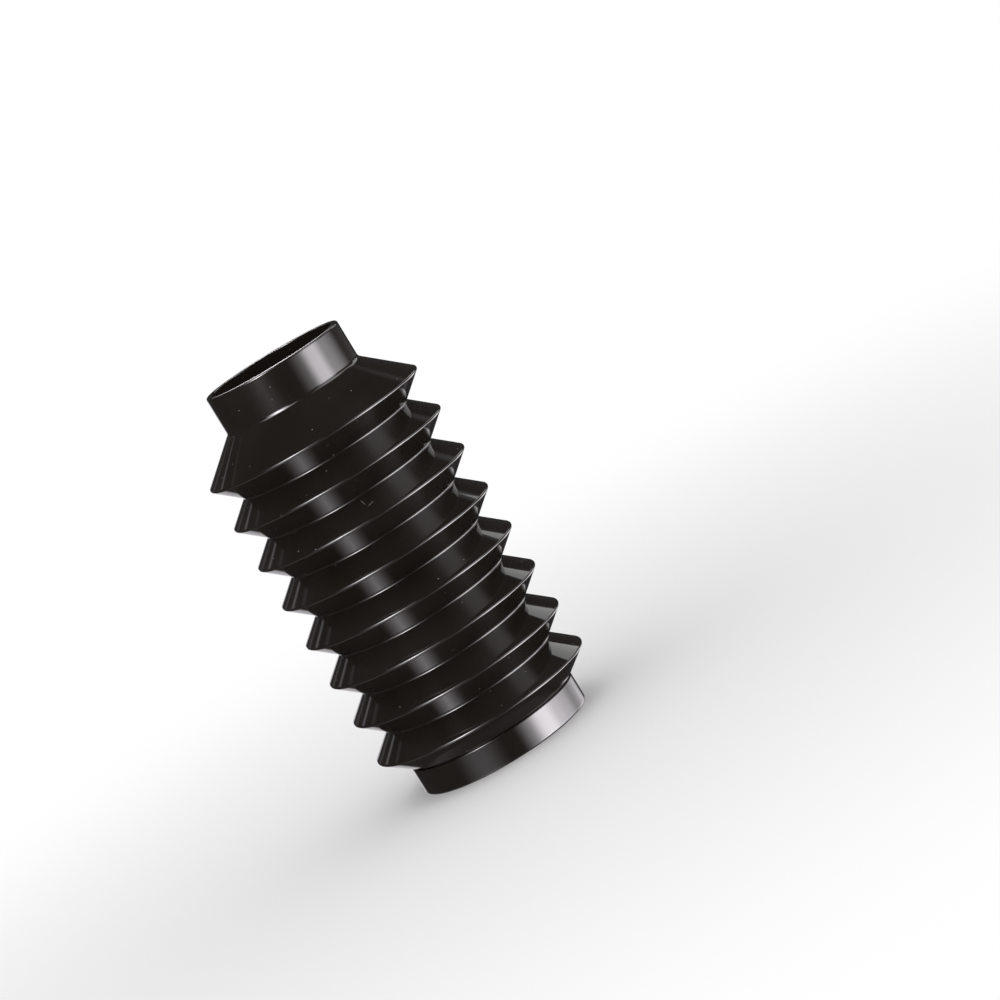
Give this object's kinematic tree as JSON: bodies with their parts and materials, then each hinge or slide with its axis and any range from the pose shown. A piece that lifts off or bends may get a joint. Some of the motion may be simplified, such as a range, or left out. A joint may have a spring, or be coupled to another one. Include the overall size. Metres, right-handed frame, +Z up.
{
  "type": "fork cover",
  "caption": "Glossy black rubber bellows that covers a motorbike's fork tube, with sharp V folds, a wide cuff for the fork leg below and a narrower collar for the tube above.",
  "frame": {"origin": "middle of the cuff's lower rim, which is the bottom of the part and the centre of its outline seen from above", "axes": "+Z up the fork tube, from the cuff to the collar; the part is round about Z, so +X and +Y are free"},
  "size_m": [0.0854, 0.0854, 0.1622],
  "materials": {
    "rubber": "glossy moulded black rubber, warm in tone, with a few specks of dust"
  },
  "bodies": {
    "root": {"gaiter": "rubber"}
  },
  "joints": []
}
